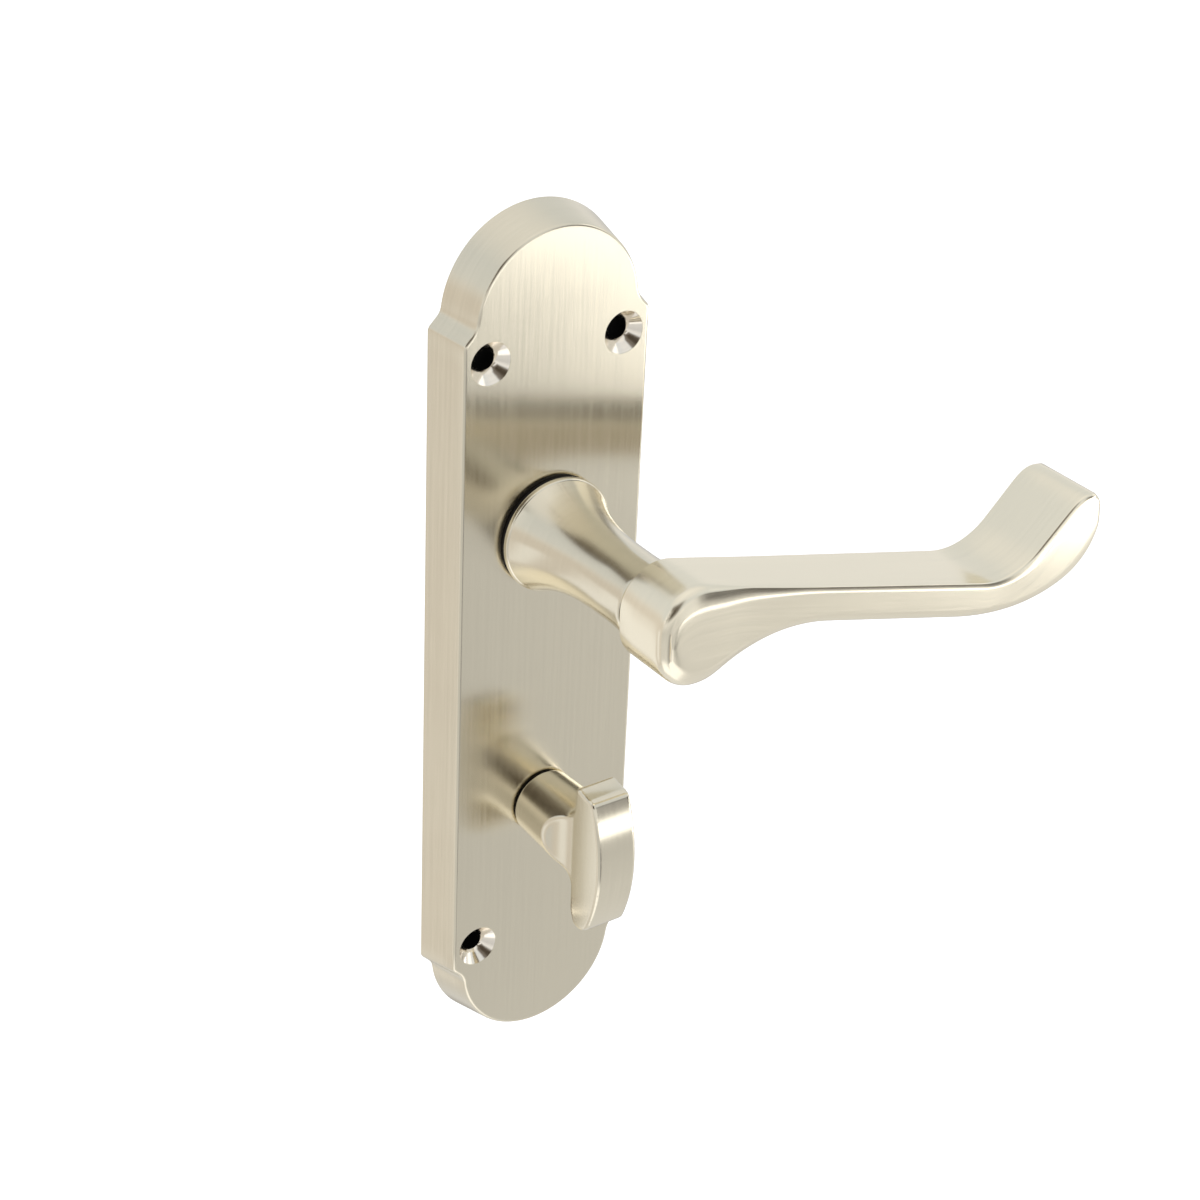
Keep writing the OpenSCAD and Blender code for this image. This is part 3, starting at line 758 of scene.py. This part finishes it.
def cap(skin, verts, points, count, bulge):
    """Closes one face of the arm with rows across it. It rises by bulge(x) away from its outline."""
    across = 12
    total = len(verts)
    reach = lengths(points[:count])
    rows = []
    for i in range(count):
        a, b = verts[i], verts[(total - i) % total]
        pa, pb = points[i], points[(total - i) % total]
        if i in (0, count - 1):
            rows.append(([a], [pa]))
            continue
        row_v, row_p = [a], [pa]
        near_end = min(reach[i], reach[-1] - reach[i])
        half = math.dist(pa, pb) / 2
        for k in range(1, across):
            q = k / across
            x = pa[0] + (pb[0] - pa[0]) * q
            up = pa[1] + (pb[1] - pa[1]) * q
            edge = pa[2] + (pb[2] - pa[2]) * q
            from_edge = half * (1 - abs(2 * q - 1))
            ridge = min(near_end, from_edge) + 0.25 * max(near_end, from_edge)
            out = edge + bulge(x) * (1 - (1 - min(ridge / 7, 1)) ** 2)
            row_v.append(skin.bm.verts.new(place(x, up, out)))
            row_p.append((x, up, out))
        rows.append((row_v + [b], row_p + [pb]))
    middle = [p[len(p) // 2] for _, p in rows]
    along = lengths(middle)
    for i in range(count - 1):
        (va, pa), (vb, pb) = rows[i], rows[i + 1]
        if len(va) == 1 or len(vb) == 1:
            tip, row, points_row = (va[0], vb, pb) if len(va) == 1 else (vb[0], va, pa)
            u = lengths(points_row)
            here, there = (along[i], along[i + 1]) if len(va) == 1 else (along[i + 1], along[i])
            for k in range(across):
                skin.face([tip, row[k], row[k + 1]],
                          [((u[k] + u[k + 1]) / 2, here), (u[k], there), (u[k + 1], there)], 0)
            continue
        ua, ub = lengths(pa), lengths(pb)
        for k in range(across):
            grain = [(ua[k], along[i]), (ua[k + 1], along[i]),
                     (ub[k + 1], along[i + 1]), (ub[k], along[i + 1])]
            skin.face([va[k], va[k + 1], vb[k + 1], vb[k]], grain, 0)


arm_skin()


# ---- Thumbturn ----


def round_join(a, b, r):
    """Union of two distance fields with a fillet."""
    u, v = np.maximum(r - a, 0), np.maximum(r - b, 0)
    return np.maximum(r, np.minimum(a, b)) - np.sqrt(u * u + v * v)


def round_cut(a, b, r):
    """Intersection of two distance fields with a rounded edge."""
    u, v = np.maximum(r + a, 0), np.maximum(r + b, 0)
    return np.minimum(-r, np.maximum(a, b)) + np.sqrt(u * u + v * v)


def turn_field(p):
    """Distance to the thumbturn's skin from points (x, up from its axis, out)."""
    x, up, out = p[..., 0], p[..., 1], p[..., 2]
    radial = np.sqrt(x * x + up * up)
    stem_r = 6.5 + 0.5 * (out - TURN_START) / 11
    stem_end = 27.5
    stem = round_cut(radial - stem_r, TURN_START - out, 0.25)
    stem = round_cut(stem, out - stem_end, 0.5)

    # The blade: a curved front and back, a hollow top, and a bottom with a rounded heel
    front = np.sqrt((up - BLADE_MIDDLE) ** 2 + (out - BLADE_FRONT + BLADE_R) ** 2) - BLADE_R
    back = 24.9 + 0.012 * np.maximum(up, 0) ** 1.5 - out
    top = up - BLADE_TOP + 0.12 * (out - 25) + 0.5 * (1 - ((out - 28.5) / 3.5) ** 2)
    bottom = (BLADE_LOW - up + 0.35 * (out - 29)) / 1.06
    heel = ((BLADE_LOW - up) + (27.8 - out)) / ROOT2 - 1.25
    blade = round_cut(front, top, 1.1)
    blade = round_cut(blade, bottom, 1.1)
    blade = round_cut(blade, back, 0.9)
    blade = round_cut(blade, heel, 2.0)

    # Both sides run flat from the blade onto the stem, and slope out to its full width
    flat = np.abs(x) - BLADE_HALF_W
    slope = (flat + out - 22.2) / ROOT2
    return round_cut(round_join(stem, blade, 2.6), round_join(flat, slope, 2.2), 0.6)


def field_skin(field, low, high, pitch):
    """Vertices and quads on a distance field's zero, evened out and pulled onto it."""
    axes = [np.arange(a, b + pitch, pitch) for a, b in zip(low, high)]
    grid = np.stack(np.meshgrid(*axes, indexing="ij"), -1)
    value = field(grid)
    inside = value < 0
    shape = np.array(inside.shape) - 1
    corners = [(i, j, k) for i in (0, 1) for j in (0, 1) for k in (0, 1)]
    cut = lambda arr, c: arr[c[0]:c[0] + shape[0], c[1]:c[1] + shape[1], c[2]:c[2] + shape[2]]
    count = sum(cut(inside, c).astype(int) for c in corners)
    active = (count > 0) & (count < 8)
    index = -np.ones(shape, int)
    index[active] = np.arange(active.sum())
    total, hits = np.zeros((*shape, 3)), np.zeros(tuple(shape))
    for axis in range(3):
        step = np.eye(3, dtype=int)[axis]
        for c in corners:
            if c[axis] == 0:
                d = tuple(np.array(c) + step)
                va, vb = cut(value, c), cut(value, d)
                crossed = (va < 0) != (vb < 0)
                share = np.where(crossed, va / np.where(crossed, va - vb, 1), 0)
                pa, pb = cut(grid, c), cut(grid, d)
                total += np.where(crossed[..., None], pa + (pb - pa) * share[..., None], 0)
                hits += crossed
    verts = total[active] / hits[active][:, None]
    quads = []
    for axis in range(3):
        b, c = [k for k in range(3) if k != axis]
        size = np.array(inside.shape)
        cells = np.argwhere(np.ones(tuple(size - np.eye(3, dtype=int)[axis]), bool))
        for side in (b, c):
            cells = cells[(cells[:, side] > 0) & (cells[:, side] < size[side] - 1)]
        ahead = cells + np.eye(3, dtype=int)[axis]
        change = inside[tuple(cells.T)] != inside[tuple(ahead.T)]
        cells = cells[change]
        step_b, step_c = np.eye(3, dtype=int)[b], np.eye(3, dtype=int)[c]
        around = (step_b + step_c, step_c, np.zeros(3, int), step_b)
        quads.append(np.stack([index[tuple((cells - step).T)] for step in around], 1))
    quads = np.concatenate(quads)
    neighbours = np.concatenate([quads[:, [i, (i + 1) % 4]] for i in range(4)])
    for _ in range(6):
        mean, degree = np.zeros_like(verts), np.zeros(len(verts))
        np.add.at(mean, neighbours[:, 0], verts[neighbours[:, 1]])
        np.add.at(degree, neighbours[:, 0], 1)
        verts = verts * 0.5 + mean / degree[:, None] * 0.5
        for _ in range(2):
            off = field(verts)
            nudge = pitch * 0.05
            slope = np.stack([field(verts + nudge * e) - field(verts - nudge * e) for e in np.eye(3)], 1)
            slope /= 2 * nudge
            verts = verts - off[:, None] * slope / np.maximum((slope ** 2).sum(1), 0.2)[:, None]
    return verts, quads


def turn_skin():
    skin = Skin()
    pitch = 0.26
    verts, quads = field_skin(turn_field, (-8, -18, TURN_START - 1), (8, 15, 35), pitch)
    made = [skin.bm.verts.new(place(x, up + TURN_UP, out)) for x, up, out in verts]
    for quad in quads:
        points = verts[quad]
        x, up, out = points.mean(0)
        if math.hypot(x, up) > 5.5 and out < 23.5 and abs(up) < 8:
            angles = [math.atan2(b, a) for a, b, _ in points]
            first = angles[0]
            angles = [a - 2 * math.pi * round((a - first) / (2 * math.pi)) for a in angles]
            grain = [(o, a * 6.8) for (_, _, o), a in zip(points, angles)]
        elif abs(x) > BLADE_HALF_W - 0.3:
            grain = [(o, b) for _, b, o in points]
        else:
            grain = [(a, b) for a, b, _ in points]
        skin.face([made[i] for i in quad], grain, 0)

    sides = 64
    centre_ring = lambda outline, out: skin.level([(x, up + TURN_UP) for x, up in outline], out)
    hollow = square_loop(TURN_SQUARE / 2 + RUNNING_GAP, 0.2, sides)
    tail = [centre_ring(hollow, 12.0), centre_ring(hollow, TAIL_START),
            centre_ring(circle(0, 0, TURN_TAIL_R - 0.1, sides), TAIL_START)]
    for r, out in ((TURN_TAIL_R, 0.35), (TURN_TAIL_R, 3.45), (4.05, 3.45), (4.05, 4.55), (TURN_TAIL_R, 4.55),
                   (TURN_TAIL_R, TURN_START + 0.4), (3.7, TURN_START + 0.4)):
        tail.append(centre_ring(circle(0, 0, r, sides), out))
    skin.sweep(tail)
    return skin.finish("turn_knob", "turn", "thumbturn", "satin_nickel", [satin_turned], sharp=60)


turn_skin()


# ---- Spindles ----


def spindle(name, node, body, centre_up, size):
    """A square bar with softened edges and chamfered ends."""
    skin = Skin()
    (_, _), (_, _), (low, high) = spans(node)
    half = size / 2
    loop = lambda h: [(x, up + centre_up) for x, up in square_loop(h, 0.45, 64)]
    levels = [(half - 0.7, low), (half - 0.1, low + 0.7), (half, low + 0.9),
              (half, high - 0.3), (half - 0.3, high)]
    rings = [skin.level(loop(h), out) for h, out in levels]
    skin.sweep(rings)
    skin.fill(rings[:1])
    skin.fill(rings[-1:])
    return skin.finish(name, body, node, "plated_steel", [steel], sharp=30)


spindle("lever_square_bar", "lever_spindle", "lever", 0, LEVER_SQUARE)
spindle("turn_square_bar", "turn_spindle", "turn", TURN_UP, TURN_SQUARE)


# ---- Return spring ----

WIRE_R = 0.6
SPRING_R = 8.9
SPRING_BASE = 2.7 + WIRE_R
SPRING_PITCH = 1.25
HOLD_ANGLE = -90
PUSH_ANGLE = 76
LEG_OUT = 13.6


def spring_skin():
    """A torsion spring whose coil winds between the plate's lug and the driver's ear."""
    skin = Skin()
    swept = 360 + PUSH_ANGLE - HOLD_ANGLE
    rise = SPRING_PITCH * swept / 360
    steps, sides = 150, 14
    polar = lambda r, a, out: Vector((r * math.cos(math.radians(a)), r * math.sin(math.radians(a)), out))
    coil = [polar(SPRING_R, HOLD_ANGLE + swept * i / steps, SPRING_BASE + rise * (1 - i / steps))
            for i in range(steps + 1)]
    high = SPRING_BASE + rise
    hold = [polar(LEG_OUT, HOLD_ANGLE - 1.3, high), polar(SPRING_R + 1.6, HOLD_ANGLE - 1, high),
            polar(SPRING_R + 0.5, HOLD_ANGLE - 0.6, high)]
    push = [polar(SPRING_R + 0.5, PUSH_ANGLE + 0.7, SPRING_BASE),
            polar(SPRING_R + 1.6, PUSH_ANGLE + 1.4, SPRING_BASE),
            polar(LEG_OUT, PUSH_ANGLE + 1.8, SPRING_BASE)]
    path = hold + coil + push
    rings = []
    for i, p in enumerate(path):
        heading = (path[min(i + 1, len(path) - 1)] - path[max(i - 1, 0)]).normalized()
        side = Vector((0, 0, 1)).cross(heading).normalized()
        up = heading.cross(side)
        angles = [2 * math.pi * k / sides for k in range(sides)]
        ring = [p + WIRE_R * (math.cos(a) * side + math.sin(a) * up) for a in angles]
        rings.append(skin.ring([tuple(q) for q in ring]))
    skin.sweep(rings)
    for verts, _ in (rings[0], rings[-1]):
        skin.bm.faces.new(verts)
    piece = skin.finish("torsion_spring", None, "return_spring", "spring_steel", [spring_steel], sharp=50)
    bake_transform(piece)


spring_skin()

# ---- CAD nodes that keep their shape ----

for name in ("thrust_washer", "spring_driver", "arm_screw", "turn_washer", "turn_pin"):
    frame["nodes"][name].data.materials.clear()
    frame["nodes"][name].data.materials.append(steel)
for name in ("lever_circlip", "turn_circlip", "turn_wave_washer"):
    frame["nodes"][name].data.materials.clear()
    frame["nodes"][name].data.materials.append(spring_steel)


# ---- Floor, light and camera ----


def floor():
    """A plain pale studio floor below the handle."""
    mesh = bpy.data.meshes.new("studio_floor")
    bm = bmesh.new()
    bmesh.ops.create_grid(bm, x_segments=8, y_segments=8, size=6)
    bm.to_mesh(mesh)
    bm.free()
    ground = bpy.data.objects.new("studio_floor", mesh)
    ground.location = (0, 0, cad_low.z - 0.12)
    bpy.context.scene.collection.objects.link(ground)
    paint = Paint("pale_floor")
    space = paint.add("ShaderNodeTexCoord").outputs["Object"]
    tone = paint.noise(space, 3.0, 2.0, 0.5)
    paint.link(paint.ramp(tone, [(0.3, (0.93, 0.93, 0.93)), (0.7, (0.95, 0.95, 0.95))]),
               paint.shader.inputs["Base Color"])
    paint.set(Roughness=0.9, Emission_Color=(1, 1, 1, 1), Emission_Strength=0.45)
    mesh.materials.append(paint.material)
    ground.visible_glossy = False


def camera():
    """The camera stands left of and above the handle and looks down along the lever."""
    right = Vector((0.8056, -0.5900, 0.0545))
    down = Vector((-0.2421, -0.4116, -0.8786))
    ahead = Vector((0.5409, 0.6945, -0.4744))
    data = bpy.data.cameras.new("studio_camera")
    data.sensor_width = 36
    data.lens = 82.13
    data.shift_x = -0.0708
    data.shift_y = -0.0249
    data.clip_start = 0.01
    data.clip_end = 100
    made = bpy.data.objects.new("studio_camera", data)
    turn = Matrix((right, -down, -ahead)).transposed()
    made.matrix_world = Matrix.Translation((-0.24624, -0.36437, 0.22640)) @ turn.to_4x4()
    bpy.context.scene.collection.objects.link(made)
    bpy.context.scene.camera = made


# The studio's tone by elevation in degrees. A tone is a brightness and a warmth.
ROOM = ((-90, 0.9, 0), (-60, 0.8, 0), (-46, 0.74, 0), (-30, 0.73, 0), (-12, 0.66, 0), (4, 0.92, 0),
        (20, 0.82, -0.03), (40, 0.8, -0.04), (60, 0.9, 0), (90, 1.0, 0))

# The panels laid over it: azimuth (0 in front of the handle, positive towards its lever), elevation, half
# width, half height and softness of the edge, all in degrees, and a tone.
PANELS = (
    (-125, -20, 50, 32, 8, 0.74, 0.06),    # wide and dim, low on the left: the plate's left wall
    (-147, -28, 12, 22, 5, 1.05, 0),       # a brighter strip in it: the left sides of head and blade
    (-103, -27, 10, 18, 5, 1.0, 0),        # a second strip in it
    (-44, 31, 34, 20, 5, 0.15, 0.15),      # dark, round the camera
    (-37, 27, 12, 10, 5, 0.05, 0.3),       # its darkest part
    (-76, 26, 4, 16, 2, 1.4, 0),           # two narrow bright strips left of the camera
    (-60, 24, 3, 14, 2, 1.2, 0),
    (42, 9, 13, 10, 4, 0.06, 0.1),         # dark, in front on the right: the band across the plate
    (73, 24, 14, 11, 4, 1.35, 0),          # bright, above it: the arm's top edge
    (11, -32, 15, 15, 4, 0.36, 0),         # dim, low in front
    (63, -21, 12, 10.5, 4, 1.45, 0),       # bright, low on the right: the front of the arm's curl
    (84, -38, 36, 7, 4, 0.85, 0),          # below it
    (-18, -55, 46, 13, 6, 1.4, 0),         # bright, on the floor in front: the low side of the neck
    (140, -36, 28, 17, 5, 0.42, 0.05),     # dim, low behind on the right
)


def tone(brightness, warmth):
    """A brightness as a colour, a little warmer or cooler than neutral."""
    return (brightness * (1 + warmth), brightness, brightness * (1 - warmth))


class Studio(Nodes):
    """The world's nodes: its brightness is a function of direction."""

    def __init__(self):
        self.world = bpy.data.worlds.new("studio")
        super().__init__(self.world)

    def math(self, operation, *values):
        """A Math node on sockets and numbers."""
        node = self.add("ShaderNodeMath", operation=operation)
        for value, target in zip(values, node.inputs):
            if isinstance(value, (int, float)):
                target.default_value = value
            else:
                self.link(value, target)
        return node.outputs["Value"]

    def window(self, offset, half, soft):
        """1 within half of the middle and 0 outside it, with a soft edge."""
        node = self.add("ShaderNodeMapRange", interpolation_type="SMOOTHSTEP")
        node.inputs["From Min"].default_value = math.radians(half - soft)
        node.inputs["From Max"].default_value = math.radians(half + soft)
        node.inputs["To Min"].default_value = 1
        node.inputs["To Max"].default_value = 0
        self.link(self.math("ABSOLUTE", offset), node.inputs["Value"])
        return node.outputs["Result"]

    def brightness(self):
        """The room's brightness with the panels laid over it."""
        split = self.add("ShaderNodeSeparateXYZ")
        self.link(self.add("ShaderNodeTexCoord").outputs["Generated"], split.inputs["Vector"])
        azimuth = self.math("ARCTAN2", split.outputs["X"], self.math("MULTIPLY", split.outputs["Y"], -1))
        elevation = self.math("ARCSINE", split.outputs["Z"])
        height = self.add("ShaderNodeMapRange")
        height.inputs["From Min"].default_value = -math.pi / 2
        height.inputs["From Max"].default_value = math.pi / 2
        self.link(elevation, height.inputs["Value"])
        stops = [((degrees + 90) / 180, tone(brightness, warmth)) for degrees, brightness, warmth in ROOM]
        light = self.ramp(height.outputs["Result"], stops)
        for middle, level, half_w, half_h, soft, brightness, warmth in PANELS:
            aside = self.math("SUBTRACT", azimuth, math.radians(middle))
            aside = self.math("WRAP", aside, math.pi, -math.pi)
            above = self.math("SUBTRACT", elevation, math.radians(level))
            share = self.math("MULTIPLY", self.window(aside, half_w, soft), self.window(above, half_h, soft))
            mix = self.add("ShaderNodeMix", data_type="RGBA")
            self.link(share, mix.inputs["Factor"])
            self.link(light, mix.inputs[6])
            mix.inputs[7].default_value = (*tone(brightness, warmth), 1)
            light = mix.outputs[2]
        return light


def world():
    """A white room for the eye, and a studio of soft panels for the metal."""
    studio = Studio()
    bpy.context.scene.world = studio.world
    panels = studio.add("ShaderNodeBackground")
    studio.link(studio.brightness(), panels.inputs["Color"])
    white = studio.add("ShaderNodeBackground")
    white.inputs["Color"].default_value = (1, 1, 1, 1)
    white.inputs["Strength"].default_value = 1.1
    mix = studio.add("ShaderNodeMixShader")
    ray = studio.add("ShaderNodeLightPath")
    studio.link(ray.outputs["Is Camera Ray"], mix.inputs["Fac"])
    studio.link(panels.outputs["Background"], mix.inputs[1])
    studio.link(white.outputs["Background"], mix.inputs[2])
    output = studio.add("ShaderNodeOutputWorld")
    studio.link(mix.outputs["Shader"], output.inputs["Surface"])


def softbox(name, azimuth, distance, low, high, width, radiance):
    """An upright rectangular light that faces the handle's axis. Lengths are in metres."""
    data = bpy.data.lights.new(name, "AREA")
    data.shape = "RECTANGLE"
    data.size = width
    data.size_y = high - low
    data.energy = radiance * math.pi * width * (high - low)
    made = bpy.data.objects.new(name, data)
    a = math.radians(azimuth)
    made.location = (distance * math.sin(a), -distance * math.cos(a), (low + high) / 2)
    made.rotation_euler = (math.pi / 2, 0, a)
    made.visible_camera = False
    bpy.context.scene.collection.objects.link(made)


floor()
camera()
world()
softbox("key_softbox", azimuth=45, distance=0.587, low=-0.182, high=-0.065, width=0.9, radiance=1.35)
softbox("arm_softbox", azimuth=53, distance=0.587, low=-0.245, high=-0.184, width=0.25, radiance=3.0)
bpy.context.scene.view_settings.view_transform = "Standard"
